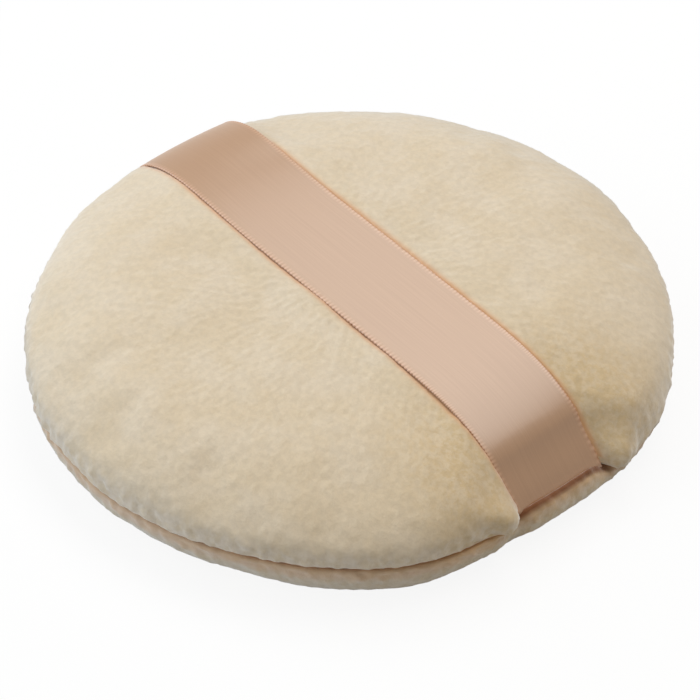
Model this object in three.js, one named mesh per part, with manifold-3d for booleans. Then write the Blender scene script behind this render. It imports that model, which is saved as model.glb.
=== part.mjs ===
// A round velour powder puff with a satin ribbon across its top, lying on its powder face.
// Millimetres, +Z up: the foot lies at z = 0, and +X runs along the ribbon.
import * as THREE from "three";
import { mergeVertices } from "three/addons/utils/BufferGeometryUtils.js";
import Module from "manifold-3d";

const wasm = await Module();
wasm.setup();

// Pad, two velour panels sewn at the rim and turned right side out
const PAD_DIAMETER = 80;
const PAD_HEIGHT = 13.8; // floor to the top of the velour
const SEAM_HEIGHT = 5.7; // floor to the middle of the seam
const VELOUR = 0.8; // backing and pressed pile
const ALLOWANCE = 5; // turned-in edge, from the crease inwards
const CREASE_DEPTH = 1.4; // from the rim in to the root of the crease
const LIP_ROLL = 0.1; // extra height of the rolled edge beside the crease
const FOOT_INSET = 5.6; // from the rim in to the edge of the flat foot
const LOWER_RIM_INSET = 0.2; // lower panel's rim, inside the upper panel's
const CROWN_FLATNESS = 4.4; // powers of the crown's superellipse
const CROWN_SHOULDER = 2.1;

// Ribbon, taut across the crown with its ends sewn into the seam
const RIBBON_WIDTH = 13.3;
const RIBBON_THICKNESS = 0.35;
const RIBBON_OFFSET = 1.8; // from the pad's middle towards +Y
const RIBBON_TRIM = 0.5; // ribbon's cut end, short of the allowance's edge
const RIBBON_LEAD = 0.4; // how far the ribbon runs out of the crease before it turns up
const RIBBON_PULL = 2; // how far each end draws the rim in
const OVAL = 0.006; // share that the pad loses along the ribbon and gains across it

// Threads
const THREAD = 0.24;
const STITCH_PITCH = 4;
const STITCH_INSET = 1; // from the root of the crease in to the stitch line
const TURNING_GAP = 36; // stretch of seam left open for turning and filling, then closed by hand
const TURNING_GAP_ANGLE = THREE.MathUtils.degToRad(120); // middle of that stretch, from +X

// Clearances
const CLEARANCE = 0.3;
const RIBBON_SEAM_CLEARANCE = 0.2; // where the ribbon presses the pile of the allowances down
const THREAD_CLEARANCE = 0.07;
const STITCH_ROOM = 0.7; // between the stitches and the filling, which sinks when pressed
const CUT_OVERRUN = 0.4; // how far a needle hole's cut runs past the cloth

// Steps of the round forms
const AROUND = 72;
const CORE_AROUND = 48;
const CROWN_STEPS = 8;
const INNER_STEPS = 5;
const LIP_STEPS = 4;
const RIBBON_LINES = 4;
const PULL_SHARPNESS = 60; // how abruptly the drawn-in stretch turns into the round rim

// Sizes that follow
const rim = PAD_DIAMETER / 2;
const lowerRim = rim - LOWER_RIM_INSET;
const foot = rim - FOOT_INSET;
const root = rim - CREASE_DEPTH;
const allowanceEdge = root - ALLOWANCE;
const stitchLine = root - STITCH_INSET;
const halfGap = CLEARANCE / 2;
const ribbonRise = CLEARANCE + RIBBON_THICKNESS / 2; // middle of the ribbon above the velour
const lip = halfGap + VELOUR + LIP_ROLL;
const upperRimHeight = SEAM_HEIGHT + lip;
const lowerRimHeight = SEAM_HEIGHT - lip;
const threadHeight = halfGap + VELOUR + THREAD_CLEARANCE + THREAD / 2;
const legOffset = THREAD + THREAD_CLEARANCE; // each leg of a stitch, from the middle of its hole
const loopHeight = THREAD / 2 + THREAD_CLEARANCE / 2; // each interlocked loop, from the seam's middle
const lockHole = legOffset + THREAD / 2 + THREAD_CLEARANCE;
const closingHole = THREAD / 2 + THREAD_CLEARANCE;
const quarter = Math.PI / 2;

function steps(from, to, count, pointAt) {
  return Array.from({ length: count + 1 }, (_, i) => pointAt(from + ((to - from) * i) / count));
}

// Crown of the pad, a superellipse set in from the velour's outer face; angle 0 is its top
function crown(inset, angle) {
  const r = (rim - inset) * Math.sin(angle) ** (2 / CROWN_FLATNESS);
  const rise = PAD_HEIGHT - inset - upperRimHeight;
  return new THREE.Vector2(r, upperRimHeight + rise * Math.cos(angle) ** (2 / CROWN_SHOULDER));
}

// Side of the lower panel, a quarter ellipse set in from its outer face; angle 0 is the edge of the foot
function lowerSide(inset, angle) {
  const r = foot + (lowerRim - inset - foot) * Math.sin(angle);
  return new THREE.Vector2(r, lowerRimHeight - (lowerRimHeight - inset) * Math.cos(angle));
}

// Rolled edge beside the crease, from a rim (angle 0) in to the root of the crease
function rolledLip(rootRadius, rimRadius, rimHeight, rootHeight, angle) {
  const r = rootRadius + (rimRadius - rootRadius) * Math.cos(angle);
  return new THREE.Vector2(r, rimHeight + (rootHeight - rimHeight) * Math.sin(angle));
}

// Draws a round form in where the ribbon's ends pull on the rim, and lets it spread across the ribbon
function drawIn(point) {
  const [x, y] = point;
  const radius = Math.hypot(x, y);
  const alongRibbon = Math.abs(x) / Math.max(radius, Number.EPSILON);
  const overPulled = (alongRibbon * rim) / (rim - RIBBON_PULL);
  const rimShare = (1 + overPulled ** PULL_SHARPNESS) ** (-1 / PULL_SHARPNESS);
  point[0] = x * (1 - OVAL) * (1 + (rimShare - 1) * (radius / rim) ** 3);
  point[1] = y * (1 + OVAL);
}

function solidOf(geometry) {
  geometry.deleteAttribute("normal");
  geometry.deleteAttribute("uv");
  const merged = mergeVertices(geometry, 1e-4);
  const triVerts = [];
  for (let i = 0; i < merged.index.count; i += 3) {
    const [a, b, c] = merged.index.array.subarray(i, i + 3);
    if (a !== b && b !== c && c !== a) triVerts.push(a, b, c);
  }
  const vertProperties = merged.attributes.position.array;
  return new wasm.Manifold(
    new wasm.Mesh({ numProp: 3, vertProperties, triVerts: new Uint32Array(triVerts) }),
  );
}

function turned(profile, around) {
  return solidOf(new THREE.LatheGeometry(profile, around).rotateX(quarter));
}

function drawnMesh(name, solid, material) {
  const mesh = solid.warp(drawIn).getMesh();
  const geometry = new THREE.BufferGeometry();
  geometry.setAttribute("position", new THREE.BufferAttribute(mesh.vertProperties, 3));
  geometry.setIndex(new THREE.BufferAttribute(mesh.triVerts, 1));
  geometry.computeVertexNormals();
  const made = new THREE.Mesh(geometry, material);
  made.name = name;
  return made;
}

// Places of the stitches, as angles round the stitch line
const gapAngle = TURNING_GAP / stitchLine;
const seamStart = TURNING_GAP_ANGLE + gapAngle / 2;
const seamAngle = 2 * Math.PI - gapAngle;
const seamCount = Math.round((seamAngle * stitchLine) / STITCH_PITCH);
const closingCount = Math.round(TURNING_GAP / STITCH_PITCH);
const seamStitches = steps(seamStart, seamStart + seamAngle, seamCount, (angle) => angle);
const closingStitches = steps(seamStart - gapAngle, seamStart, closingCount, (angle) => angle).slice(1, -1);

// Needle holes through the cloth between two heights, counted from the middle of the seam
function needleHoles(angles, halfWidth, low, high) {
  return angles.map((angle) => {
    const hole = new THREE.BoxGeometry(2 * halfWidth, 2 * halfWidth, high - low);
    hole.translate(stitchLine, 0, SEAM_HEIGHT + (low + high) / 2).rotateZ(angle);
    return solidOf(hole);
  });
}

function allNeedleHoles(low, high) {
  return [
    ...needleHoles(seamStitches, lockHole, low, high),
    ...needleHoles(closingStitches, closingHole, low, high),
  ];
}

function topPanel() {
  const inSeam = SEAM_HEIGHT + halfGap;
  const profile = [
    ...steps(0, quarter, CROWN_STEPS, (angle) => crown(0, angle)),
    ...steps(0, quarter, LIP_STEPS, (angle) => rolledLip(root, rim, upperRimHeight, inSeam, angle)).slice(1),
    new THREE.Vector2(allowanceEdge, inSeam),
    new THREE.Vector2(allowanceEdge, inSeam + VELOUR),
    new THREE.Vector2(root, inSeam + VELOUR),
    ...steps(quarter, 0, INNER_STEPS, (angle) => crown(VELOUR, angle)),
  ];
  const holes = allNeedleHoles(0, halfGap + VELOUR + CUT_OVERRUN);
  return wasm.Manifold.difference([turned(profile.reverse(), AROUND), ...holes, ...ribbonPassages()]);
}

function bottomPanel() {
  const inSeam = SEAM_HEIGHT - halfGap;
  const profile = [
    new THREE.Vector2(0, 0),
    ...steps(0, quarter, INNER_STEPS, (angle) => lowerSide(0, angle)),
    ...steps(0, quarter, LIP_STEPS, (angle) => rolledLip(root, lowerRim, lowerRimHeight, inSeam, angle)).slice(1),
    new THREE.Vector2(allowanceEdge, inSeam),
    new THREE.Vector2(allowanceEdge, inSeam - VELOUR),
    new THREE.Vector2(root, inSeam - VELOUR),
    ...steps(quarter, 0, LIP_STEPS, (angle) => lowerSide(VELOUR, angle)),
    new THREE.Vector2(0, VELOUR),
  ];
  const holes = allNeedleHoles(-halfGap - VELOUR - CUT_OVERRUN, 0);
  return wasm.Manifold.difference([turned(profile, AROUND), ...holes, ...ribbonPassages()]);
}

// Filling, grooved where the sewn allowances reach into it
function padCore() {
  const inset = VELOUR + CLEARANCE;
  const groove = threadHeight + THREAD / 2 + STITCH_ROOM;
  const grooveRadius = allowanceEdge - CLEARANCE;
  const grooveTop = SEAM_HEIGHT + groove;
  const grooveBottom = SEAM_HEIGHT - groove;
  const upperShare = (grooveTop - upperRimHeight) / (PAD_HEIGHT - inset - upperRimHeight);
  const lowerShare = (lowerRimHeight - grooveBottom) / (lowerRimHeight - inset);
  const upperStart = Math.acos(upperShare ** (CROWN_SHOULDER / 2));
  const lowerEnd = Math.acos(lowerShare);
  const profile = [
    new THREE.Vector2(0, inset),
    ...steps(0, lowerEnd, LIP_STEPS, (angle) => lowerSide(inset, angle)),
    new THREE.Vector2(grooveRadius, grooveBottom),
    new THREE.Vector2(grooveRadius, grooveTop),
    ...steps(upperStart, 0, INNER_STEPS, (angle) => crown(inset, angle)),
  ];
  return turned(profile, CORE_AROUND);
}

function mirrored(line) {
  return line.map((point) => new THREE.Vector2(-point.x, point.y));
}

// Strip along a middle line: straight across the crown, bent round with the rim at its ends
function strip(line, width, thickness) {
  const across = steps(-width / 2, width / 2, RIBBON_LINES, (y) => RIBBON_OFFSET + y);
  const sections = line.map((point, i) => {
    const ahead = line[Math.min(i + 1, line.length - 1)];
    const behind = line[Math.max(i - 1, 0)];
    const along = ahead.clone().sub(behind).normalize();
    const face = (side) => {
      const x = point.x - (side * along.y * thickness) / 2;
      const z = point.y + (side * along.x * thickness) / 2;
      const bend = THREE.MathUtils.smoothstep(Math.abs(x), RIBBON_WIDTH, root);
      return across.map((y) => [Math.sign(x) * Math.sqrt(x * x - bend * y * y), y, z]);
    };
    return [...face(-1), ...face(1).reverse()];
  });
  return solidOf(lofted(sections));
}

// Flat room that the ribbon's ends take up between the two allowances
function ribbonPassages() {
  const line = [allowanceEdge - CUT_OVERRUN, root, rim + CUT_OVERRUN].map(
    (r) => new THREE.Vector2(r, SEAM_HEIGHT),
  );
  const width = RIBBON_WIDTH + 2 * RIBBON_SEAM_CLEARANCE;
  const thickness = RIBBON_THICKNESS + 2 * RIBBON_SEAM_CLEARANCE;
  return [line, mirrored(line)].map((end) => strip(end, width, thickness));
}

// Ribbon, from one sewn end out of the seam, round the rolled edge, over the crown and back
function fingerRibbon() {
  const bendStart = root + RIBBON_LEAD;
  const overLip = (angle) => rolledLip(bendStart, rim + ribbonRise, upperRimHeight, SEAM_HEIGHT, angle);
  const half = [
    new THREE.Vector2(allowanceEdge + RIBBON_TRIM, SEAM_HEIGHT),
    ...steps(quarter, 0, LIP_STEPS, overLip),
    ...steps(quarter, 0, CROWN_STEPS, (angle) => crown(-ribbonRise, angle)).slice(1),
  ];
  const line = [...mirrored(half), ...half.slice(0, -1).reverse()];
  const throughRibbon = RIBBON_THICKNESS / 2 + CUT_OVERRUN;
  const reach = RIBBON_OFFSET + RIBBON_WIDTH / 2 + lockHole;
  const sewn = seamStitches.filter((angle) => Math.abs(stitchLine * Math.sin(angle)) < reach);
  const holes = needleHoles(sewn, lockHole, -throughRibbon, throughRibbon);
  return wasm.Manifold.difference([strip(line, RIBBON_WIDTH, RIBBON_THICKNESS), ...holes]);
}

// Closed solid through rings of points, with flat ends fanned from their first point
function lofted(sections) {
  const ring = sections[0].length;
  const index = [];
  for (let i = 0; i + 1 < sections.length; i++) {
    for (let j = 0; j < ring; j++) {
      const a = i * ring + j;
      const b = i * ring + ((j + 1) % ring);
      index.push(a, b, b + ring, a, b + ring, a + ring);
    }
  }
  const last = (sections.length - 1) * ring;
  for (let j = 1; j + 1 < ring; j++) {
    index.push(0, j + 1, j);
    index.push(last, last + j, last + j + 1);
  }
  const geometry = new THREE.BufferGeometry();
  geometry.setAttribute("position", new THREE.Float32BufferAttribute(sections.flat(2), 3));
  geometry.setIndex(index);
  return geometry;
}

function seamPoint(angle, outward, height) {
  const r = stitchLine + outward;
  return new THREE.Vector3(r * Math.cos(angle), r * Math.sin(angle), SEAM_HEIGHT + height);
}

// Square thread along straight stretches, mitred where it turns
function threadAlong(points) {
  const directions = points.slice(1).map((point, i) => point.clone().sub(points[i]).normalize());
  const outward = new THREE.Vector3(points[0].x, points[0].y, 0).normalize();
  const sideways = directions[0].clone().cross(outward);
  let corners = [[1, 1], [-1, 1], [-1, -1], [1, -1]].map(([a, b]) =>
    points[0]
      .clone()
      .addScaledVector(outward, (a * THREAD) / 2)
      .addScaledVector(sideways, (b * THREAD) / 2),
  );
  const sections = [corners.map((corner) => corner.toArray())];
  for (let i = 1; i < points.length; i++) {
    const along = directions[i - 1];
    const mitre = directions[i] ? along.clone().add(directions[i]) : along;
    corners = corners.map((corner) => {
      const reach = points[i].clone().sub(corner).dot(mitre) / along.dot(mitre);
      return corner.clone().addScaledVector(along, reach);
    });
    sections.push(corners.map((corner) => corner.toArray()));
  }
  return solidOf(lofted(sections));
}

// Needle thread of the lockstitch: over the upper allowance, dipping a loop into every hole
function needleThread() {
  const turn = legOffset / stitchLine;
  return threadAlong(
    seamStitches.flatMap((angle) => [
      seamPoint(angle - turn, 0, threadHeight),
      seamPoint(angle - turn, 0, -loopHeight),
      seamPoint(angle + turn, 0, -loopHeight),
      seamPoint(angle + turn, 0, threadHeight),
    ]),
  );
}

// Bobbin thread: under the lower allowance, its loops passed through the needle thread's
function bobbinThread() {
  return threadAlong(
    seamStitches.flatMap((angle, i) => {
      const side = i % 2 ? legOffset : -legOffset;
      return [
        seamPoint(angle, side, -threadHeight),
        seamPoint(angle, side, loopHeight),
        seamPoint(angle, -side, loopHeight),
        seamPoint(angle, -side, -threadHeight),
      ];
    }),
  );
}

// Hand-sewn running stitch that closes the turning gap
function closingThread() {
  return threadAlong(
    closingStitches.flatMap((angle, i) => {
      const side = i % 2 ? -1 : 1;
      return [seamPoint(angle, 0, side * threadHeight), seamPoint(angle, 0, -side * threadHeight)];
    }),
  );
}

function cloth(color, roughness) {
  return new THREE.MeshStandardMaterial({ color, roughness, metalness: 0 });
}

const puff = new THREE.Group();
puff.name = "powder_puff";
puff.add(
  drawnMesh("top_panel", topPanel(), cloth(0xdecdb2, 0.95)),
  drawnMesh("bottom_panel", bottomPanel(), cloth(0xdac8ac, 0.95)),
  drawnMesh("pad_core", padCore(), cloth(0xf3eee2, 0.9)),
  drawnMesh("finger_ribbon", fingerRibbon(), cloth(0xd4b6a0, 0.45)),
  drawnMesh("needle_thread", needleThread(), cloth(0xe6dac4, 0.6)),
  drawnMesh("bobbin_thread", bobbinThread(), cloth(0xe6dac4, 0.6)),
  drawnMesh("closing_thread", closingThread(), cloth(0xe6dac4, 0.6)),
);

export default puff;
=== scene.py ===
# A round velour powder puff with a satin ribbon across its top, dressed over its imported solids.
import math

import bpy
import numpy as np
from mathutils import Matrix, Vector


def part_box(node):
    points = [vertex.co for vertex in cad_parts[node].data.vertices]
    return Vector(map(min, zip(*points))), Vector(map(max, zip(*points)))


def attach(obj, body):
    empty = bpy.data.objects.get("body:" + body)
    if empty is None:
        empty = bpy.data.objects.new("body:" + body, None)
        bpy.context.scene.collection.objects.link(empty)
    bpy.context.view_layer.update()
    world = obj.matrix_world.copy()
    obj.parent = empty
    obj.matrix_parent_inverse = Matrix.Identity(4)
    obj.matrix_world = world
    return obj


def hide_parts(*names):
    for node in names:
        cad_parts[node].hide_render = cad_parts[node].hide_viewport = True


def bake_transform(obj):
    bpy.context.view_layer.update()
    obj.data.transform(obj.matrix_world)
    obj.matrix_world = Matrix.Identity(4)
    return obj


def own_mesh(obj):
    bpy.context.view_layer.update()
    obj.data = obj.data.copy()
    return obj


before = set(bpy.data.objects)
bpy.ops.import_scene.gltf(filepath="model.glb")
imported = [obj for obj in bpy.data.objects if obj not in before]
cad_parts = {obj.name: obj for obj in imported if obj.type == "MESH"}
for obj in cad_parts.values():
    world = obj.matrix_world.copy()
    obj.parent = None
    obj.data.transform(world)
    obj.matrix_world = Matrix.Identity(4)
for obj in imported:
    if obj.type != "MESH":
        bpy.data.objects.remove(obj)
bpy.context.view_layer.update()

MM = 0.001
QUARTER = math.pi / 2

# Velour covers, sewn at the rim and turned right side out
VELOUR = 0.8 * MM
ALLOWANCE = 5 * MM
CREASE_DEPTH = 1.4 * MM
LIP_ROLL = 0.1 * MM
LIP_FULLNESS = 3.2
FOOT_INSET = 5.6 * MM
LOWER_RIM_INSET = 0.2 * MM
CROWN_FLATNESS = 4.4
CROWN_SHOULDER = 2.1
OVAL = 0.006
STITCH_PITCH = 4 * MM
STITCH_PUCKER = 0.03 * MM

# Unevenness of the hand-turned rim: waves in the round, height, phase in degrees
RIM_WAVES = ((2, 0.33 * MM, 17), (3, 0.18 * MM, -114), (4, 0.23 * MM, -15), (5, 0.25 * MM, 167))
SEAM_WAVES = ((3, 0.2 * MM, -149), (4, 0.28 * MM, -150))
RIM_SHARPNESS = 3

# Pleats and sags beside the ribbon's sewn end: direction in degrees, half width along the rim, height
UPPER_PLEATS = ((-10.7, 1.7 * MM, 0.7 * MM), (16.5, 2.2 * MM, 0.7 * MM))
LOWER_PLEATS = ((-8.2, 1.8 * MM, -0.9 * MM), (8, 6 * MM, 0.2 * MM), (24, 8 * MM, -0.6 * MM))
SEAM_SAGS = ((19.5, 4.5 * MM, -1.5 * MM), (29, 8 * MM, -1.1 * MM))
PLEAT_LOW = 7.5 * MM
PLEAT_HIGH = 10 * MM

# Lower lip, raised in front of the ribbon's near end
LIP_RIDGE = 1.15 * MM
RIDGE_FULL_INSIDE = 2.5 * MM
RIDGE_END_OUTSIDE = 1.2 * MM
RIDGE_START_INSET = 1.1 * MM
RIDGE_FULL_INSET = 0.2 * MM
RIDGE_START_BELOW = 1.5 * MM
RIDGE_FULL_ABOVE = 0.3 * MM

# Relief of the pile: wavelength, height and seed
LUMPS = (14 * MM, 0.1 * MM, 1)
DIMPLES = (4 * MM, 0.02 * MM, 2)
NAP = (1.2 * MM, 0.024 * MM, 3)
TUFTS = (1.4 * MM, 0.09 * MM, 4)
TUFT_REACH = 2 * MM
WAVE_COUNT = 48
SHORTEST_WAVE = 0.7
LONGEST_WAVE = 1.4
PILE_END_ON_LIP = 0.6
FOOT_FLAT = 1.5 * MM

# Where light and shade are painted into the velour's colour: painted shade in creases, along the ribbon's
# edges and toward the ribbon's near end, and a painted sheen on the steep rim
CREASE_SHADE_FULL_ON_LIP = 0.9
EDGE_SHADE_WIDTH = 0.5 * MM
EDGE_SHADE_DEPTH = 0.85
LOWER_SHADE_DEPTH = 0.35
LOWER_SHADE_REACH = 0.6 * MM
DEEP_SHADE_ROWS = (-1, 2)
DEEP_SHADE_REACH = 2.5 * MM
NEAR_END_SHADE_FULL = 4 * MM
NEAR_END_SHADE_REACH = 16 * MM
NEAR_END_SHADE_FROM = 0.3
NEAR_END_SHADE_FULL_FROM = 0.8
PAINTED_SHEEN_STEEPNESS = (0.15, 0.9)

# Cloth simulation of the upper cover over its filling, on a coarse and enlarged copy
PUFF_STEP = 2 * MM
PUFF_AROUND = 120
PUFF_SCALE = 25
PUFF_PRESSURE = 4
PUFF_STIFFNESS = 250
PUFF_SHEAR = PUFF_STIFFNESS / 3
PUFF_BENDING = 1
PUFF_FRAMES = 20
PUFF_LIMIT = 0.45 * MM

# Ribbon, taut across the crown with its ends sewn into the seam
RIBBON_THICKNESS = 0.35 * MM
RIBBON_FACE = 0.8
RIBBON_TRIM = 0.5 * MM
RIBBON_LEAD = 0.4 * MM
RIBBON_END_RISE = 0.25 * MM
RIBBON_SETTLES = QUARTER / 3
RIBBON_SEAM_ROOM = 0.08 * MM
SEAM_GAP_FULL = 0.2 * MM
SEAM_GAP_END = 2 * MM
SELVAGE = 0.45 * MM
PICOT_PITCH = 0.56 * MM
PICOT_HEIGHT = 0.1 * MM

# How the ribbon draws the pad in, with shares of the rim's radius for where it starts and is full
NEAR_PULL = 2.6 * MM
NEAR_AIM = math.radians(0)
FAR_PULL = 1.6 * MM
FAR_AIM = math.radians(178)
LOWER_PULL = 1.9 * MM
PULL_SHARPNESS = 28
FAR_SLIDE = 1.3 * MM
SLIDE_FROM = 0.3
SLIDE_FULL_FROM = 0.95
NEAR_TUCK = 4.3 * MM
TUCK_FROM = 0.4
TUCK_FULL_FROM = 0.9
TUCK_REACH = 6.5 * MM
TUCK_REACH_AT_LIP = 1.8 * MM
TUCK_LOW = 3.4 * MM
TUCK_HIGH = 10.2 * MM
FAR_CORNER_RISE = 0.5 * MM
FAR_CORNER_HEIGHT = 3 * MM
FAR_CORNER_FROM = 0.6
FAR_CORNER_FULL_FROM = 0.85

# Pile under the ribbon and beside it, with shares of the rim's radius
PILE_ROOM = 0.04 * MM
PILE_BESIDE_RIBBON = 0.48 * MM
PILE_AT_NEAR_END = 0.65 * MM
PILE_AT_FAR_LEFT = 0.45 * MM
PILE_AT_FAR_RIGHT = 0.1 * MM
PILE_EDGE = 0.3 * MM
PILE_BESIDE_FULL = 0.8 * MM
PILE_BESIDE_REACH = 5 * MM
PILE_SHOULDER_FROM = 0.6
PILE_SHOULDER_FULL_FROM = 0.9
PILE_UNDER_FULL_TO = 0.68
PILE_UNDER_TO = 0.85

# Threads of the seam, and the stretch of it that was left open for turning
THREAD = 0.24 * MM
STITCH_INSET = 1 * MM
THREAD_ROOM = 0.07 * MM
TURNING_GAP = 36 * MM
TURNING_GAP_ANGLE = math.radians(120)

# Filling, with its dents' wavelength, depth and seed
FILLING_CLEARANCE = 0.3 * MM
GROOVE_HALF_HEIGHT = 2.1 * MM
DENTS = (5 * MM, 0.08 * MM, 7)

# Fineness of the meshes
LINE_POINTS = 400
AROUND = 600
CORE_AROUND = 120
RING_STEP = 0.42 * MM
FOOT_STEP = 0.8 * MM
INNER_STEP = 1.5 * MM
CORE_STEP = 1.2 * MM
RIBBON_STEP = 0.14 * MM
RIBBON_LINES = 26
SELVAGE_LINES = 7

# Colours, as sRGB levels
CREAM = (215, 196, 168)
PALE_CREAM = (218, 201, 177)
# Painted shade toward the ribbon's near end
NEAR_END_SHADE_COLOUR = (206, 181, 142)
# Painted sheen on the steep rim
PAINTED_SHEEN_COLOUR = (228, 216, 204)
# Painted shade in the creases
CREASE_SHADE_COLOUR = (214, 158, 110)
# Darker painted shade where the lower lip meets the ribbon's near end
DEEP_SHADE_COLOUR = (122, 74, 40)
SHEEN_COLOUR = (255, 252, 248)
PEACH = (165, 124, 88)
PALE_PEACH = (171, 130, 94)
LOOP_GAP_COLOUR = (172, 120, 82)
LOOP_COLOUR = (212, 168, 134)
FILLING_HOLLOW = (228, 221, 206)
FILLING_WHITE = (246, 242, 232)
# Painted shade in the hollows between the thread's plies
THREAD_GROOVE_SHADE = (214, 196, 166)
THREAD_PALE = (236, 222, 198)

# Noise in the materials: size of its blots, detail, roughness
BLOTS = (7 * MM, 3, 0.6)
SHADE_PATCHES = (0.9 * MM, 3, 0.65)
SHEEN_PATCHES = (1.2 * MM, 3, 0.6)
SPECKLE = (0.8 * MM, 3, 0.65)
FIBRES = (0.45 * MM, 3, 0.7)
CLUMPS = (2.5 * MM, 4, 0.65)
CLUMP_FIBRES = (0.8 * MM, 4, 0.7)
PLIES = (0.2 * MM, 2, 0.5)
SATIN_STREAKS = (60, 6000, 1)

# Parts of the noise's range that are spread out: strong, medium and weak contrast
STRONG = (0.35, 0.65)
MEDIUM = (0.3, 0.7)
WEAK = (0.25, 0.75)

# Camera, matched to the photograph's outline
CAMERA_ELEVATION = math.radians(44.12)
CAMERA_AZIMUTH = math.radians(50.02)
CAMERA_DISTANCE = 350 * MM
CAMERA_RIGHT = 0.01 * MM
CAMERA_UP = 1.7 * MM
CAMERA_LENS = 144
CAMERA_NEAREST = 10 * MM
SENSOR_WIDTH = 36

# Light and floor
AMBIENT = 0.25
AMBIENT_COLOUR = (1, 0.93, 0.77, 1)
KEY_SIZE = (0.88, 0.4)
KEY_PLACE = Vector((-0.11, 0.31, 0.63))
KEY_POWER = 3.9
KEY_COLOUR = (1, 0.98, 0.94)
FILL_SIZE = (0.9, 1.5)
FILL_COLOUR = (0.75, 0.87, 1)
FILL_PLACE = Vector((-0.58, -0.5, 0.4))
FILL_POWER = 7.7
WHITE = (1.0, 1.0, 1.0, 1.0)
FLOOR_SIZE = 6
FLOOR_WHITE_SHARE = 0.9
FLOOR_TONE = (0.95, 0.95, 0.95, 1)
FLOOR_BOUNCE = (0.6, 0.6, 0.6, 1)

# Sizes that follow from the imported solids
top_low, top_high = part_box("top_panel")
bottom_low, bottom_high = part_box("bottom_panel")
ribbon_low, ribbon_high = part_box("finger_ribbon")
rim = top_high.y / (1 + OVAL)
pad_height = top_high.z
seam_height = (top_low.z + bottom_high.z) / 2
half_gap = (top_low.z - bottom_high.z) / 2
ribbon_width = (ribbon_high.y - ribbon_low.y) / (1 + OVAL)
ribbon_middle = (ribbon_high.y + ribbon_low.y) / 2 / (1 + OVAL)
ribbon_rise = ribbon_high.z - pad_height - RIBBON_THICKNESS / 2
lower_rim = rim - LOWER_RIM_INSET
foot = rim - FOOT_INSET
root = rim - CREASE_DEPTH
allowance_edge = root - ALLOWANCE
lip = half_gap + VELOUR + LIP_ROLL
upper_rim_height = seam_height + lip
lower_rim_height = seam_height - lip


def smooth(values, low, high):
    share = np.clip((values - low) / (high - low), 0, 1)
    return share * share * (3 - 2 * share)


# Lines of the round form, as points (radius, height)


def crown(inset, angle):
    r = (rim - inset) * np.sin(angle) ** (2 / CROWN_FLATNESS)
    rise = pad_height - inset - upper_rim_height
    z = upper_rim_height + rise * np.maximum(np.cos(angle), 0) ** (2 / CROWN_SHOULDER)
    return np.stack([r, z], -1)


def lower_side(inset, angle):
    r = foot + (lower_rim - inset - foot) * np.sin(angle)
    z = lower_rim_height - (lower_rim_height - inset) * np.cos(angle)
    return np.stack([r, z], -1)


def rolled_lip(root_radius, rim_radius, rim_height, root_height, angle):
    r = root_radius + (rim_radius - root_radius) * np.maximum(np.cos(angle), 0) ** (2 / LIP_FULLNESS)
    z = rim_height + (root_height - rim_height) * np.sin(angle) ** (2 / LIP_FULLNESS)
    return np.stack([r, z], -1)


def angles(start, end):
    return np.linspace(start, end, LINE_POINTS)


def along(line):
    """Distance of each point of a line from its start."""
    steps = np.linalg.norm(np.diff(line, axis=0), axis=1)
    return np.concatenate([[0], np.cumsum(steps)])


def even(line, step):
    """The same line with points about a step apart."""
    distance = along(line)
    count = max(2, round(distance[-1] / step) + 1)
    places = np.linspace(0, distance[-1], count)
    return np.stack([np.interp(places, distance, line[:, i]) for i in range(line.shape[1])], -1)


# From the round form to the sewn, drawn-in one


def waves(angle, table):
    return sum(height * np.cos(count * angle - math.radians(phase)) for count, height, phase in table)


def local(angle, table):
    """Bumps at the table's directions, each as high as it says and wide along the rim."""
    bumps = 0
    for at, width, height in table:
        bumps = bumps + height * np.exp(-(((angle - math.radians(at)) * rim / width) ** 2))
    return bumps


def beside_ribbon(y):
    """Distance out from the ribbon's nearer edge, less than 0 under the ribbon."""
    return np.abs(y - ribbon_middle) - ribbon_width / 2


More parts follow.
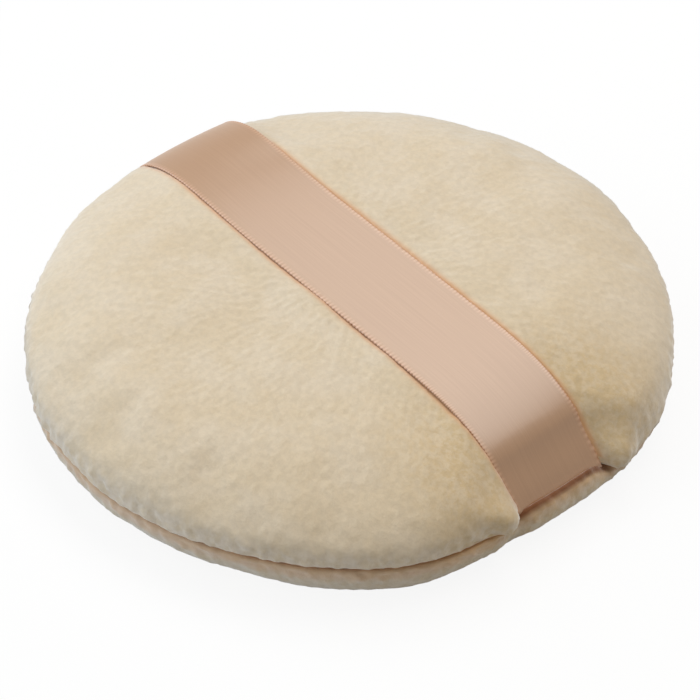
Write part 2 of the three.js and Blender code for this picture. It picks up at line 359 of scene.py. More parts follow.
def shaped(points):
    """Points of the round form, moved to where the ribbon's pull and the hand-sewn rim have them."""
    x, y, z = np.moveaxis(points, -1, 0)
    radius = np.hypot(x, y)
    angle = np.arctan2(y, x)
    reach = (radius / rim) ** RIM_SHARPNESS
    upper = smooth(z, lower_rim_height, upper_rim_height)
    pull = LOWER_PULL + (np.where(x > 0, NEAR_PULL, FAR_PULL) - LOWER_PULL) * upper
    aim = np.where(x > 0, NEAR_AIM, FAR_AIM)
    toward = np.maximum(np.cos(angle - aim), 0)
    over_pulled = toward * rim / (rim - pull)
    drawn = ((1 + over_pulled**PULL_SHARPNESS) ** (-1 / PULL_SHARPNESS) - 1) * toward * radius * reach
    tuck = NEAR_TUCK * smooth(x, TUCK_FROM * rim, TUCK_FULL_FROM * rim) * smooth(z, TUCK_LOW, TUCK_HIGH)
    above_lip = smooth(z, upper_rim_height, TUCK_HIGH)
    tuck_reach = TUCK_REACH_AT_LIP + (TUCK_REACH - TUCK_REACH_AT_LIP) * above_lip
    tuck = tuck * (1 - smooth(beside_ribbon(y), 0, tuck_reach))
    pleat = local(angle, UPPER_PLEATS) * upper * (1 - smooth(z, PLEAT_LOW, PLEAT_HIGH))
    pleat = pleat + local(angle, LOWER_PLEATS) * (1 - upper) * smooth(z, 0, lower_rim_height / 2)
    wave = 1 + (waves(angle, RIM_WAVES) + pleat) / rim * reach
    depth = np.where(z < seam_height, z / seam_height, (pad_height - z) / (pad_height - seam_height))
    lift = waves(angle, SEAM_WAVES) + local(angle, SEAM_SAGS)
    lift = lift * np.clip(depth, 0, 1) * smooth(radius, root - CREASE_DEPTH / 2, rim)
    moved_x = (x + drawn * np.cos(aim)) * (1 - OVAL) * wave - tuck
    slide = FAR_SLIDE * smooth(-x, SLIDE_FROM * rim, SLIDE_FULL_FROM * rim)
    slide = slide * (1 - smooth(beside_ribbon(y), 0, TUCK_REACH)) * upper
    moved_y = (y + drawn * np.sin(aim)) * (1 + OVAL) * wave + slide
    return np.stack([moved_x, moved_y, z + lift], -1)


def ripples(points, wavelength, seed):
    """Seeded unevenness of about that wavelength, from crossing waves, with mean 0 and spread 1."""
    random = np.random.default_rng(seed)
    directions = random.normal(size=(WAVE_COUNT, 3))
    directions /= np.linalg.norm(directions, axis=1, keepdims=True)
    lengths = wavelength * random.uniform(SHORTEST_WAVE, LONGEST_WAVE, WAVE_COUNT)
    phases = random.uniform(0, 2 * math.pi, WAVE_COUNT)
    turns = points @ (2 * math.pi * directions / lengths[:, None]).T + phases
    return np.sin(turns).sum(-1) * math.sqrt(2 / WAVE_COUNT)


def grid_normals(points):
    """Normals of a turned grid of points (rings, around), up where its line runs outward."""
    along_line = np.gradient(points, axis=0)
    around = (np.roll(points, -1, axis=1) - np.roll(points, 1, axis=1)) / 2
    normal = np.cross(along_line, around)
    length = np.linalg.norm(normal, axis=-1, keepdims=True)
    return normal / np.maximum(length, 1e-15)


def turned(line, count):
    angle = np.linspace(0, 2 * math.pi, count, endpoint=False)
    r, z = line[:, 0, None], line[:, 1, None]
    return np.stack([r * np.cos(angle), r * np.sin(angle), np.broadcast_to(z, (len(line), count))], -1)


# Meshes


def mesh_object(name, vertices, faces):
    mesh = bpy.data.meshes.new(name)
    mesh.from_pydata(vertices.tolist(), [], faces)
    mesh.validate()
    mesh.shade_smooth()
    made = bpy.data.objects.new(name, mesh)
    bpy.context.scene.collection.objects.link(made)
    return made


def turned_object(name, points, closed=True):
    """A mesh from rings of points, whose first ring is a pole and, where it is closed, its last one too."""
    last_ring = len(points) - 2 if closed else len(points) - 1
    count = points.shape[1]
    inner = points[1:last_ring + 1].reshape(-1, 3)
    vertices = np.concatenate([points[0, :1], inner, points[-1, :1] if closed else points[:0, 0]])
    here = np.arange(count)
    after = (here + 1) % count
    faces = [(0, 1 + int(a), 1 + int(b)) for a, b in zip(here, after)]
    ring = np.arange(last_ring - 1)[:, None] * count + 1
    quads = np.stack([ring + count + here, ring + count + after, ring + after, ring + here], -1)
    faces += quads.reshape(-1, 4).tolist()
    if closed:
        start = 1 + (last_ring - 1) * count
        faces += [(len(vertices) - 1, start + int(a), start + int(b)) for a, b in zip(after, here)]
    return mesh_object(name, vertices, faces)


def point_attribute(obj, name, values):
    attribute = obj.data.attributes.new(name, "FLOAT", "POINT")
    attribute.data.foreach_set("value", np.asarray(values, np.float32).ravel())


def ring_values(values):
    """Values on a turned grid, in the order of turned_object's vertices."""
    return np.concatenate([values[0, :1], values[1:-1].ravel(), values[-1, :1]])


# Cloth simulation


def inflated(points, held):
    """Rings of points after pressure from inside has pushed out those that aren't held."""
    made = turned_object("puffing", points * PUFF_SCALE, closed=False)
    group = made.vertex_groups.new(name="held")
    group.add(np.nonzero(np.concatenate([held[0, :1], held[1:].ravel()]))[0].tolist(), 1, "REPLACE")
    modifier = made.modifiers.new("puff", "CLOTH")
    modifier.point_cache.frame_end = PUFF_FRAMES
    settings = modifier.settings
    settings.tension_stiffness = PUFF_STIFFNESS
    settings.compression_stiffness = PUFF_STIFFNESS
    settings.shear_stiffness = PUFF_SHEAR
    settings.bending_stiffness = PUFF_BENDING
    settings.vertex_group_mass = "held"
    settings.use_pressure = True
    settings.uniform_pressure_force = PUFF_PRESSURE
    settings.effector_weights.gravity = 0
    for step in range(1, PUFF_FRAMES + 1):
        bpy.context.scene.frame_set(step)
    result = made.evaluated_get(bpy.context.evaluated_depsgraph_get()).data
    moved = np.zeros(3 * len(result.vertices), np.float32)
    result.vertices.foreach_get("co", moved)
    moved = moved.reshape(-1, 3) / PUFF_SCALE
    bpy.context.scene.frame_set(1)
    bpy.data.meshes.remove(made.data)
    pole = np.broadcast_to(moved[0], (1, *points.shape[1:]))
    return np.concatenate([pole, moved[1:].reshape(-1, *points.shape[1:])])


def spline(values, places, mode):
    """Smooth values at places between the rows of a coarse grid."""
    row = np.floor(places).astype(int)
    t = (places - row)[:, None]
    shares = ((1 - t) ** 3, 3 * t**3 - 6 * t**2 + 4, 3 * t + 3 * t**2 - 3 * t**3 + 1, t**3)
    return sum(share * values.take(row + i - 1, 0, mode=mode) for i, share in enumerate(shares)) / 6


def puff(outer, lip_line):
    """How far the filling pushes each point of the upper cover's outer face out."""
    face = even(outer, PUFF_STEP)
    line = np.concatenate([face, even(lip_line, PUFF_STEP / 2)[1:]])
    plain = turned(line, PUFF_AROUND)
    sewn = np.arange(len(line))[:, None] >= len(face)
    start = shaped(plain)
    moved = inflated(start, (beside_ribbon(plain[..., 1]) < 0) | sewn)
    push = np.clip(((moved - start) * grid_normals(start)).sum(-1), -PUFF_LIMIT, PUFF_LIMIT)
    push = spline(push, np.interp(along(outer), along(line), np.arange(len(line))), "clip")
    return spline(push.T, np.arange(AROUND) * PUFF_AROUND / AROUND, "wrap").T


# Velour covers


def pile_relief(points):
    """Height of the pile over the cover's plain form."""
    reliefs = (LUMPS, DIMPLES, NAP)
    return sum(height * ripples(points, wavelength, seed) for wavelength, height, seed in reliefs)


def lip_relief(points, angle):
    """Tufts of pile along the lips, between the dips that the stitches pull."""
    wavelength, height, seed = TUFTS
    stitch = np.cos(angle * round(2 * math.pi * root / STITCH_PITCH))
    return STITCH_PUCKER * stitch + height * (ripples(points, wavelength, seed) - 1)


def ribbon_lift(radius):
    """Height of the ribbon's middle over the cover's plain form."""
    turn = np.arcsin(np.clip(radius / rim, 0, 1) ** (CROWN_FLATNESS / 2))
    return ribbon_rise + (RIBBON_END_RISE - ribbon_rise) * smooth(turn, RIBBON_SETTLES, QUARTER)


def far_corner_lift(radius, height, across):
    """Rise of the ribbon and its velour over the far shoulder, more toward the ribbon's right edge."""
    over_shoulder = smooth(radius, FAR_CORNER_FROM * rim, FAR_CORNER_FULL_FROM * rim)
    over_shoulder = over_shoulder * smooth(height, upper_rim_height, upper_rim_height + FAR_CORNER_HEIGHT)
    return FAR_CORNER_RISE * over_shoulder * (across / ribbon_width + 0.5)


def ribbon_relief(points, relief):
    """Pile over points of the round form, pressed flat under the ribbon and standing up beside it."""
    from_ribbon = beside_ribbon(points[..., 1])
    radius = np.hypot(points[..., 0], points[..., 1])
    shoulder = smooth(radius, PILE_SHOULDER_FROM * rim, PILE_SHOULDER_FULL_FROM * rim)
    at_far_end = np.where(points[..., 1] > ribbon_middle, PILE_AT_FAR_RIGHT, PILE_AT_FAR_LEFT)
    at_end = np.where(points[..., 0] > 0, PILE_AT_NEAR_END, at_far_end)
    height = PILE_BESIDE_RIBBON + (at_end - PILE_BESIDE_RIBBON) * shoulder
    free = smooth(from_ribbon, -PILE_EDGE, PILE_EDGE)
    beside = height * (1 - smooth(from_ribbon, PILE_BESIDE_FULL, PILE_BESIDE_REACH))
    under = ribbon_lift(radius) - RIBBON_THICKNESS / 2 - PILE_ROOM
    under = under * (1 - smooth(radius, PILE_UNDER_FULL_TO * rim, PILE_UNDER_TO * rim))
    across = np.clip(points[..., 1] - ribbon_middle, -ribbon_width / 2, ribbon_width / 2)
    under = under + far_corner_lift(radius, points[..., 2], across) * (points[..., 0] < 0)
    return under * (1 - free) + (relief + beside) * free


def seam_gap(angle):
    """How far each cover gives way in the seam where the ribbon's ends pass."""
    across = beside_ribbon(rim * np.sin(angle))
    passing = RIBBON_THICKNESS / 2 + RIBBON_SEAM_ROOM - half_gap
    return passing * (1 - smooth(across, SEAM_GAP_FULL, SEAM_GAP_END))


def lip_ridge(points):
    """Rise of the lower lip in front of the ribbon's near end."""
    x, y, z = np.moveaxis(points, -1, 0)
    before_end = (1 - smooth(beside_ribbon(y), -RIDGE_FULL_INSIDE, RIDGE_END_OUTSIDE)) * (x > 0)
    outside = smooth(np.hypot(x, y), lower_rim - RIDGE_START_INSET, lower_rim - RIDGE_FULL_INSET)
    near_top = smooth(z, lower_rim_height - RIDGE_START_BELOW, lower_rim_height + RIDGE_FULL_ABOVE)
    return LIP_RIDGE * before_end * outside * near_top


def colour_cover(made, plain, normals, from_lip, lip_start, lip_rows, side):
    """Point values of a cover that its material takes its painted shade and painted sheen from."""
    index = np.arange(len(plain))[:, None]
    from_ribbon = beside_ribbon(plain[..., 1])
    # Painted shade: in the seam's crease on the lip, along the ribbon's edges on the upper cover, and just
    # below the lip on the lower cover
    crease_shade_share = smooth(index, lip_start + 1, lip_start + lip_rows * CREASE_SHADE_FULL_ON_LIP) * np.ones((1, AROUND))
    if side > 0:
        edge_shade = EDGE_SHADE_DEPTH * np.exp(-((from_ribbon / EDGE_SHADE_WIDTH) ** 2)) * (index < lip_start)
        crease_shade_share = np.maximum(crease_shade_share, edge_shade)
    else:
        below_lip = np.maximum(from_lip, 0)[:, None]
        lower_shade = LOWER_SHADE_DEPTH * np.exp(-((below_lip / LOWER_SHADE_REACH) ** 2))
        crease_shade_share = np.maximum(crease_shade_share, lower_shade)
    point_attribute(made, "crease_shade", ring_values(crease_shade_share))
    # Darker painted shade on the lower lip in front of the ribbon's near end
    ribbon_end = (1 - smooth(from_ribbon, 0, DEEP_SHADE_REACH)) * (plain[..., 0] > 0) * (side < 0)
    first_row, full_row = DEEP_SHADE_ROWS
    deep_shade = smooth(index, lip_start + first_row, lip_start + full_row) * ribbon_end
    point_attribute(made, "deep_crease_shade", ring_values(deep_shade))
    # Painted shade toward the ribbon's near end, fading away from the ribbon
    toward_end = smooth(plain[..., 0], NEAR_END_SHADE_FROM * rim, NEAR_END_SHADE_FULL_FROM * rim)
    near_end_shade = (1 - smooth(from_ribbon, NEAR_END_SHADE_FULL, NEAR_END_SHADE_REACH)) * toward_end
    point_attribute(made, "near_end_shade", ring_values(near_end_shade))
    # Painted sheen: paler colour where the cover is steep
    steep = 1 - np.abs(normals[..., 2])
    point_attribute(made, "rim", ring_values(smooth(steep, *PAINTED_SHEEN_STEEPNESS)))


def cover(name, outer, lip_line, inner, side):
    """A shell of velour: its outer face, the rolled lip, the turned-in allowance and its inner face."""
    line = np.concatenate([outer, lip_line[1:], inner])
    lip_start, lip_rows = len(outer), len(lip_line)
    points = turned(line, AROUND)
    angle = np.arctan2(points[..., 1], points[..., 0])
    index = np.arange(len(line))[:, None]
    in_seam = smooth(index * np.ones((1, AROUND)), lip_start, lip_start + lip_rows - 2)
    points[..., 2] += side * seam_gap(angle) * in_seam
    plain = points
    points = shaped(points)
    if side < 0:
        points[..., 2] += lip_ridge(plain)
    normals = side * grid_normals(points)
    from_lip = line[lip_start - 1, 1] - line[:, 1]
    near_lip = np.exp(-((from_lip / TUFT_REACH) ** 2))[:, None] * (index < lip_start + lip_rows)
    relief = pile_relief(points) + lip_relief(points, angle) * near_lip
    if side > 0:
        relief[:lip_start] += puff(outer, lip_line)
        relief = ribbon_relief(plain, relief)
    relief = relief * (1 - smooth(index, lip_start + 1, lip_start + PILE_END_ON_LIP * lip_rows))
    relief = relief * smooth(points[..., 2], 0, FOOT_FLAT)
    made = turned_object(name, points + normals * relief[..., None])
    colour_cover(made, plain, normals, from_lip, lip_start, lip_rows, side)
    return made


def top_cover():
    in_seam = seam_height + half_gap
    outer = even(crown(0, angles(0, QUARTER)), RING_STEP)
    lip_line = even(rolled_lip(root, rim, upper_rim_height, in_seam, angles(0, QUARTER)), RING_STEP / 2)
    inner = np.concatenate([
        [[allowance_edge, in_seam], [allowance_edge, in_seam + VELOUR], [root, in_seam + VELOUR]],
        even(crown(VELOUR, angles(QUARTER, 0)), INNER_STEP),
    ])
    made = cover("top_velour", outer, lip_line, inner, 1)
    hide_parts("top_panel")
    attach(made, "crown")
    return made


def bottom_cover():
    in_seam = seam_height - half_gap
    foot_line = even(np.array([[0, 0], [foot, 0]]), FOOT_STEP)
    side_line = even(lower_side(0, angles(0, QUARTER)), RING_STEP)
    outer = np.concatenate([foot_line, side_line[1:]])
    lip_line = even(rolled_lip(root, lower_rim, lower_rim_height, in_seam, angles(0, QUARTER)), RING_STEP / 2)
    inner = np.concatenate([
        [[allowance_edge, in_seam], [allowance_edge, in_seam - VELOUR], [root, in_seam - VELOUR]],
        even(lower_side(VELOUR, angles(QUARTER, 0)), INNER_STEP),
        [[0, VELOUR]],
    ])
    made = cover("bottom_velour", outer, lip_line, inner, -1)
    made.data.flip_normals()
    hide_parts("bottom_panel")
    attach(made, "base")
    return made


def filling():
    inset = VELOUR + FILLING_CLEARANCE
    groove_top = seam_height + GROOVE_HALF_HEIGHT
    groove_bottom = seam_height - GROOVE_HALF_HEIGHT
    upper = crown(inset, angles(0, QUARTER))
    upper = upper[upper[:, 1] > groove_top]
    lower = lower_side(inset, angles(QUARTER, 0))
    lower = lower[lower[:, 1] < groove_bottom]
    groove_radius = allowance_edge - FILLING_CLEARANCE
    groove = np.array([[groove_radius, groove_top], [groove_radius, groove_bottom]])
    line = np.concatenate([
        even(np.concatenate([upper, groove[:1]]), CORE_STEP),
        even(np.concatenate([groove, lower, [[0, inset]]]), CORE_STEP),
    ])
    points = shaped(turned(line, CORE_AROUND))
    wavelength, depth, seed = DENTS
    dents = np.minimum(ripples(points, wavelength, seed) - 1, 0) * depth
    points = points + grid_normals(points) * dents[..., None]
    made = turned_object("filling", points)
    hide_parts("pad_core")
    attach(made, "base")
    return made


# Ribbon


def ribbon_line():
    """Middle line of one half of the ribbon, from its sewn end up over the crown to the middle."""
    bend_start = root + RIBBON_LEAD
    end_radius = rim + RIBBON_END_RISE
    turn = angles(QUARTER, 0)
    over_lip = rolled_lip(bend_start, end_radius, upper_rim_height, seam_height, turn)
    radius = rim * np.sin(turn) ** (2 / CROWN_FLATNESS)
    over_crown = crown(-ribbon_lift(radius), turn)
    sewn_end = np.array([[allowance_edge + RIBBON_TRIM, seam_height]])
    return even(np.concatenate([sewn_end, over_lip, over_crown[1:]]), RIBBON_STEP)


def ribbon_section():
    """Closed outline across the ribbon, as points (across, lift), with a corded selvage at each edge."""
    cord_middle = ribbon_width / 2 - SELVAGE / 2
    across = np.linspace(-cord_middle, cord_middle, RIBBON_LINES)
    face = np.stack([across, np.full_like(across, RIBBON_FACE * RIBBON_THICKNESS / 2)], -1)
    turn = np.linspace(QUARTER, -QUARTER, SELVAGE_LINES + 2)[1:-1]
    cord = np.stack([cord_middle + SELVAGE / 2 * np.cos(turn), RIBBON_THICKNESS / 2 * np.sin(turn)], -1)
    right = np.concatenate([face, cord])
    return np.concatenate([right, -right])


def sharpen_ends(obj, ring, rows):
    """Marks the edges round a strip's two end caps as sharp, so that its face stays flat up to them."""
    row = np.zeros(2 * len(obj.data.edges), np.int32)
    obj.data.edges.foreach_get("vertices", row)
    row = row.reshape(-1, 2) // ring
    at_end = (row[:, 0] == row[:, 1]) & np.isin(row[:, 0], (0, rows - 1))
    sharp = obj.data.attributes.new("sharp_edge", "BOOLEAN", "EDGE")
    sharp.data.foreach_set("value", at_end)


def strip_faces(rows, ring, side):
    """Faces of a strip of closed rings, capped at both ends, and turned over for side -1."""
    here = np.arange(ring)
    after = (here + 1) % ring
    row = np.arange(rows - 1)[:, None] * ring
    quads = np.stack([row + here, row + after, row + ring + after, row + ring + here], -1).reshape(-1, 4)
    caps = [here[::-1], (rows - 1) * ring + here]
    faces = [*quads.tolist(), *[cap.tolist() for cap in caps]]
    return faces if side > 0 else [face[::-1] for face in faces]


def ribbon_points(side):
    """Rings of points along half the ribbon, their distances, and their points' places across and selvage."""
    line = ribbon_line()
    section = ribbon_section()
    tangent = np.gradient(line, axis=0)
    tangent /= np.linalg.norm(tangent, axis=1, keepdims=True)
    distance = along(line)
    across, lift = section[:, 0], section[:, 1]
    if side < 0:
        lift = lift + far_corner_lift(line[:, 0, None], line[:, 1, None], across)
    x = line[:, 0, None] + tangent[:, 1, None] * lift
    z = line[:, 1, None] - tangent[:, 0, None] * lift
    edge = smooth(np.abs(across), ribbon_width / 2 - SELVAGE, ribbon_width / 2)
    picot = PICOT_HEIGHT * np.abs(np.sin(math.pi * distance / PICOT_PITCH))
    y = ribbon_middle + across + np.sign(across) * edge * picot[:, None]
    bend = smooth(x, ribbon_width, root)
    points = np.stack([side * np.sqrt(x * x - bend * y * y), y, z], -1)
    return shaped(points), distance, across, edge


def ribbon_half(name, side):
    """The ribbon from its sewn end at +X (side 1) or -X (side -1) to the middle of the crown."""
    points, distance, across, edge = ribbon_points(side)
    rows, ring = points.shape[:2]
    made = mesh_object(name, points.reshape(-1, 3), strip_faces(rows, ring, side))
    sharpen_ends(made, ring, rows)
    uv = made.data.uv_layers.new(name="grain")
    loops = np.zeros(len(made.data.loops), np.int32)
    made.data.loops.foreach_get("vertex_index", loops)
    grain = np.stack(np.broadcast_arrays(distance[:, None], across[None, :]), -1).reshape(-1, 2)
    uv.data.foreach_set("uv", grain[loops].astype(np.float32).ravel())
    point_attribute(made, "selvage", np.broadcast_to(edge, (rows, ring)))
    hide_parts("finger_ribbon")
    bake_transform(made)
    return made


# Threads


def seam_point(angle, outward, height):
    r = root - STITCH_INSET + outward
    return [r * math.cos(angle), r * math.sin(angle), seam_height + height]


def thread_piece(name, points):
    """A round thread through points of the round form, moved with the seam."""
    curve = bpy.data.curves.new(name, "CURVE")
    curve.dimensions = "3D"
    curve.bevel_depth = THREAD / 2
    curve.bevel_resolution = 2
    curve.use_fill_caps = True
    line = curve.splines.new("POLY")
    line.points.add(len(points) - 1)
    for point, place in zip(line.points, shaped(np.array(points))):
        point.co = (*place, 1)
    route = bpy.data.objects.new(f"{name}_route", curve)
    bpy.context.scene.collection.objects.link(route)
    routed = route.evaluated_get(bpy.context.evaluated_depsgraph_get())
    made = bpy.data.objects.new(name, bpy.data.meshes.new_from_object(routed))
    made.data.shade_smooth()
    bpy.context.scene.collection.objects.link(made)
    bpy.data.curves.remove(curve)
    return made


def threads():
    """The lockstitch's needle and bobbin threads, and the running stitch that closes the turning gap."""
    stitch_line = root - STITCH_INSET
    gap = TURNING_GAP / stitch_line
    start = TURNING_GAP_ANGLE + gap / 2
    around = 2 * math.pi - gap
    places = np.linspace(start, start + around, round(around * stitch_line / STITCH_PITCH) + 1)
    closing = np.linspace(start - gap, start, round(TURNING_GAP / STITCH_PITCH) + 1)[1:-1]
    leg = THREAD + THREAD_ROOM
    turn = leg / stitch_line
    high = half_gap + VELOUR + THREAD_ROOM + THREAD / 2
    low = THREAD / 2 + THREAD_ROOM / 2
    needle = [seam_point(a + side * turn, 0, level) for a in places
              for side, level in ((-1, high), (-1, -low), (1, -low), (1, high))]
    bobbin = [seam_point(a, side * leg * (-1) ** i, level) for i, a in enumerate(places)
              for side, level in ((-1, -high), (-1, low), (1, low), (1, -high))]
    running = [seam_point(a, 0, side * high * (-1) ** i) for i, a in enumerate(closing) for side in (1, -1)]
    made = []
    for name, points in (("needle_thread", needle), ("bobbin_thread", bobbin), ("closing_thread", running)):
        made.append(thread_piece(f"{name}_sewn", points))
        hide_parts(name)
        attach(made[-1], "base")
    return made


# Materials


def principled(name):
    material = bpy.data.materials.new(name)
    material.use_nodes = True
    return material, material.node_tree, material.node_tree.nodes["Principled BSDF"]


def node(tree, kind, inputs=(), **attributes):
    """A new node, with its attributes and its sockets' own values set."""
    made = tree.nodes.new(kind)
    for key, value in attributes.items():
        setattr(made, key, value)
    for key, value in dict(inputs).items():
        made.inputs[key].default_value = value
    return made


def srgb(levels):
    """A shader's colour from sRGB levels up to 255."""
    def linear(level):
        share = level / 255
        return share / 12.92 if share <= 0.04045 else ((share + 0.055) / 1.055) ** 2.4
    return (*[linear(level) for level in levels], 1)


def noise(tree, size, detail, roughness):
    """A noise texture whose blots are about that many metres across."""
    place = node(tree, "ShaderNodeTexCoord")
    made = node(tree, "ShaderNodeTexNoise", {"Scale": 1 / size, "Detail": detail, "Roughness": roughness})
    tree.links.new(place.outputs["Object"], made.inputs["Vector"])
    return made.outputs["Fac"]


def spread(tree, value, limits, to_low=0.0, to_high=1.0):
    """A value whose limits are spread to a new low and high."""
    inputs = {"From Min": limits[0], "From Max": limits[1], "To Min": to_low, "To Max": to_high}
    made = node(tree, "ShaderNodeMapRange", inputs, interpolation_type="SMOOTHSTEP")
    tree.links.new(value, made.inputs["Value"])
    return made.outputs["Result"]


def point_value(tree, name):
    return node(tree, "ShaderNodeAttribute", attribute_name=name).outputs["Fac"]


def combined(tree, how, first, second):
    made = node(tree, "ShaderNodeMath", operation=how)
    tree.links.new(first, made.inputs[0])
    tree.links.new(second, made.inputs[1])
    return made.outputs[0]


def mixed(tree, share, first, second, how="MIX"):
    """A colour mix, where each colour is a value or another node's output."""
    made = node(tree, "ShaderNodeMix", data_type="RGBA", blend_type=how)
    # This node's sockets for colours are its inputs 6 and 7 and its output 2
    for socket, colour in ((made.inputs[6], first), (made.inputs[7], second)):
        if isinstance(colour, tuple):
            socket.default_value = colour
        else:
            tree.links.new(colour, socket)
    if isinstance(share, float):
        made.inputs[0].default_value = share
    else:
        tree.links.new(share, made.inputs[0])
    return made.outputs[2]


def bump(tree, shader, height, strength, distance):
    made = node(tree, "ShaderNodeBump", {"Strength": strength, "Distance": distance})
    tree.links.new(height, made.inputs["Height"])
    tree.links.new(made.outputs["Normal"], shader.inputs["Normal"])


def velour_material():
    material, tree, shader = principled("cream_velour")
    blots = spread(tree, noise(tree, *BLOTS), STRONG)
    colour = mixed(tree, blots, srgb(CREAM), srgb(PALE_CREAM))
    # Painted shade toward the ribbon's near end, broken into patches by noise
    shade_patches = spread(tree, noise(tree, *SHADE_PATCHES), STRONG, to_low=0.5, to_high=1.1)
    darker = combined(tree, "MULTIPLY", point_value(tree, "near_end_shade"), shade_patches)
    colour = mixed(tree, darker, colour, srgb(NEAR_END_SHADE_COLOUR))
    # Painted sheen on the steep rim, in patches
    sheen_patches = spread(tree, noise(tree, *SHEEN_PATCHES), STRONG, to_low=0, to_high=0.6)
    painted_sheen = combined(tree, "MULTIPLY", point_value(tree, "rim"), sheen_patches)
    colour = mixed(tree, painted_sheen, colour, srgb(PAINTED_SHEEN_COLOUR))
    speckle = spread(tree, noise(tree, *SPECKLE), MEDIUM, to_low=0.95, to_high=1.05)
    colour = mixed(tree, 1.0, colour, speckle, "MULTIPLY")
    # Painted shade in the creases
    colour = mixed(tree, point_value(tree, "crease_shade"), colour, srgb(CREASE_SHADE_COLOUR))
    # Darker painted shade where the lower lip meets the ribbon's near end
    colour = mixed(tree, point_value(tree, "deep_crease_shade"), colour, srgb(DEEP_SHADE_COLOUR))
    tree.links.new(colour, shader.inputs["Base Color"])
    shader.inputs["Roughness"].default_value = 0.95
    shader.inputs["Specular IOR Level"].default_value = 0.1
    shader.inputs["Sheen Weight"].default_value = 1
    shader.inputs["Sheen Roughness"].default_value = 0.5
    shader.inputs["Sheen Tint"].default_value = srgb(SHEEN_COLOUR)
    bump(tree, shader, noise(tree, *FIBRES), strength=0.45, distance=0.12 * MM)
    return material


def satin_material():
    material, tree, shader = principled("peach_satin")
    place = node(tree, "ShaderNodeUVMap", uv_map="grain")
    stretch = node(tree, "ShaderNodeMapping", {"Scale": SATIN_STREAKS})
    tree.links.new(place.outputs["UV"], stretch.inputs["Vector"])
    streaks = node(tree, "ShaderNodeTexNoise", {"Scale": 1, "Detail": 2})
    tree.links.new(stretch.outputs["Vector"], streaks.inputs["Vector"])
    tone = spread(tree, streaks.outputs["Fac"], WEAK)
    colour = mixed(tree, tone, srgb(PEACH), srgb(PALE_PEACH))
    # A wave texture of scale 1 repeats every pi / 10 metres
    ticks = node(tree, "ShaderNodeTexWave", {"Scale": math.pi / 10 / PICOT_PITCH}, bands_direction="X")
    tree.links.new(place.outputs["UV"], ticks.inputs["Vector"])
    loops = mixed(tree, ticks.outputs["Fac"], srgb(LOOP_GAP_COLOUR), srgb(LOOP_COLOUR))
    colour = mixed(tree, point_value(tree, "selvage"), colour, loops)
    tree.links.new(colour, shader.inputs["Base Color"])
    shader.inputs["Roughness"].default_value = 0.33
    shader.inputs["Specular IOR Level"].default_value = 1
    shader.inputs["IOR"].default_value = 1.5
    shader.inputs["Anisotropic"].default_value = 0.15
    shader.inputs["Anisotropic Rotation"].default_value = 0.25
    tangent = node(tree, "ShaderNodeTangent", direction_type="UV_MAP", uv_map="grain")
    tree.links.new(tangent.outputs["Tangent"], shader.inputs["Tangent"])
    bump(tree, shader, streaks.outputs["Fac"], strength=0.15, distance=0.03 * MM)
    return material


def filling_material():
    material, tree, shader = principled("white_filling")
    clumps = spread(tree, noise(tree, *CLUMPS), MEDIUM)
    colour = mixed(tree, clumps, srgb(FILLING_HOLLOW), srgb(FILLING_WHITE))
    tree.links.new(colour, shader.inputs["Base Color"])
    shader.inputs["Roughness"].default_value = 1
    bump(tree, shader, noise(tree, *CLUMP_FIBRES), strength=0.5, distance=0.3 * MM)
    return material


def thread_material():
    material, tree, shader = principled("spun_thread")
    # Darker in the hollows of the plies' bump: painted shade
    plies = spread(tree, noise(tree, *PLIES), STRONG)
    colour = mixed(tree, plies, srgb(THREAD_GROOVE_SHADE), srgb(THREAD_PALE))
    tree.links.new(colour, shader.inputs["Base Color"])
    shader.inputs["Roughness"].default_value = 0.7
    bump(tree, shader, plies, strength=0.4, distance=0.03 * MM)
    return material


def paint(obj, material):
    obj.data.materials.clear()
    obj.data.materials.append(material)


# Camera, light and floor


def add_camera():
    elevation, azimuth = CAMERA_ELEVATION, CAMERA_AZIMUTH
    flat = math.cos(elevation)
    back = Vector((math.sin(azimuth) * flat, -math.cos(azimuth) * flat, math.sin(elevation)))
    right = Vector((math.cos(azimuth), math.sin(azimuth), 0))
    up = back.cross(right)
    data = bpy.data.cameras.new("camera")
    data.lens = CAMERA_LENS
    data.sensor_width = SENSOR_WIDTH
    data.clip_start = CAMERA_NEAREST
    made = bpy.data.objects.new("camera", data)
    turn = Matrix((right, up, back)).transposed().to_4x4()
    place = right * CAMERA_RIGHT + up * CAMERA_UP + back * CAMERA_DISTANCE
    made.matrix_world = Matrix.Translation(place) @ turn
    bpy.context.scene.collection.objects.link(made)
    bpy.context.scene.camera = made


def seen_directly(tree):
    """1 for rays from the camera, and for what gloss and glass show of the background."""
    path = node(tree, "ShaderNodeLightPath")
    seen = path.outputs["Is Camera Ray"]
    for kind in ("Is Glossy Ray", "Is Transmission Ray"):
        seen = combined(tree, "MAXIMUM", seen, path.outputs[kind])
    return seen


def add_world():
    world = bpy.data.worlds.new("studio")
    world.use_nodes = True
    tree = world.node_tree
    strength = node(tree, "ShaderNodeMapRange", {"To Min": AMBIENT, "To Max": 1})
    seen = seen_directly(tree)
    tree.links.new(seen, strength.inputs["Value"])
    tree.links.new(strength.outputs["Result"], tree.nodes["Background"].inputs["Strength"])
    tree.links.new(mixed(tree, seen, AMBIENT_COLOUR, WHITE), tree.nodes["Background"].inputs["Color"])
    bpy.context.scene.world = world


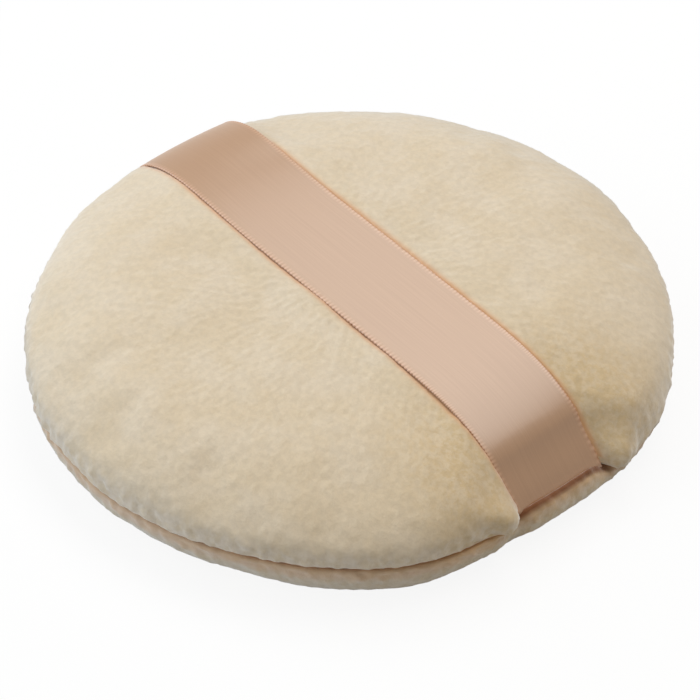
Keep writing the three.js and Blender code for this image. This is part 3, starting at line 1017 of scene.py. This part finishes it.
def add_softbox(name, place, size, power, colour):
    """A lamp that faces the puff, sized along the ribbon and across it."""
    data = bpy.data.lights.new(name, "AREA")
    data.shape = "RECTANGLE"
    data.size, data.size_y = size
    data.energy = power
    data.color = colour
    made = bpy.data.objects.new(name, data)
    back = place.normalized()
    across = (Vector((0, 1, 0)) - back * back.y).normalized()
    turn = Matrix((across.cross(back), across, back)).transposed().to_4x4()
    made.matrix_world = Matrix.Translation(place) @ turn
    bpy.context.scene.collection.objects.link(made)


def add_floor():
    half = FLOOR_SIZE / 2
    corners = np.array([[-half, -half, 0], [half, -half, 0], [half, half, 0], [-half, half, 0]])
    made = mesh_object("floor", corners, [[0, 1, 2, 3]])
    material = bpy.data.materials.new("pale_floor")
    material.use_nodes = True
    tree = material.node_tree
    tree.nodes.remove(tree.nodes["Principled BSDF"])
    seen = seen_directly(tree)
    tone = mixed(tree, seen, FLOOR_BOUNCE, FLOOR_TONE)
    matte = node(tree, "ShaderNodeBsdfDiffuse")
    tree.links.new(tone, matte.inputs["Color"])
    white = node(tree, "ShaderNodeEmission")
    share = node(tree, "ShaderNodeMath", {1: FLOOR_WHITE_SHARE}, operation="MULTIPLY")
    tree.links.new(seen, share.inputs[0])
    mix = node(tree, "ShaderNodeMixShader")
    tree.links.new(share.outputs[0], mix.inputs[0])
    tree.links.new(matte.outputs[0], mix.inputs[1])
    tree.links.new(white.outputs[0], mix.inputs[2])
    tree.links.new(mix.outputs[0], tree.nodes["Material Output"].inputs["Surface"])
    made.data.materials.append(material)


def main():
    bpy.context.scene.view_settings.view_transform = "Standard"
    add_camera()
    add_world()
    add_softbox("key", KEY_PLACE, KEY_SIZE, KEY_POWER, KEY_COLOUR)
    add_softbox("fill", FILL_PLACE, FILL_SIZE, FILL_POWER, FILL_COLOUR)
    add_floor()
    velour = velour_material()
    satin = satin_material()
    thread = thread_material()
    top = top_cover()
    bottom = bottom_cover()
    core = filling()
    halves = [ribbon_half("ribbon_near_half", 1), ribbon_half("ribbon_far_half", -1)]
    paint(top, velour)
    paint(bottom, velour)
    paint(core, filling_material())
    for half in halves:
        paint(half, satin)
    for sewn in threads():
        paint(sewn, thread)
    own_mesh(top)
    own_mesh(core)


main()
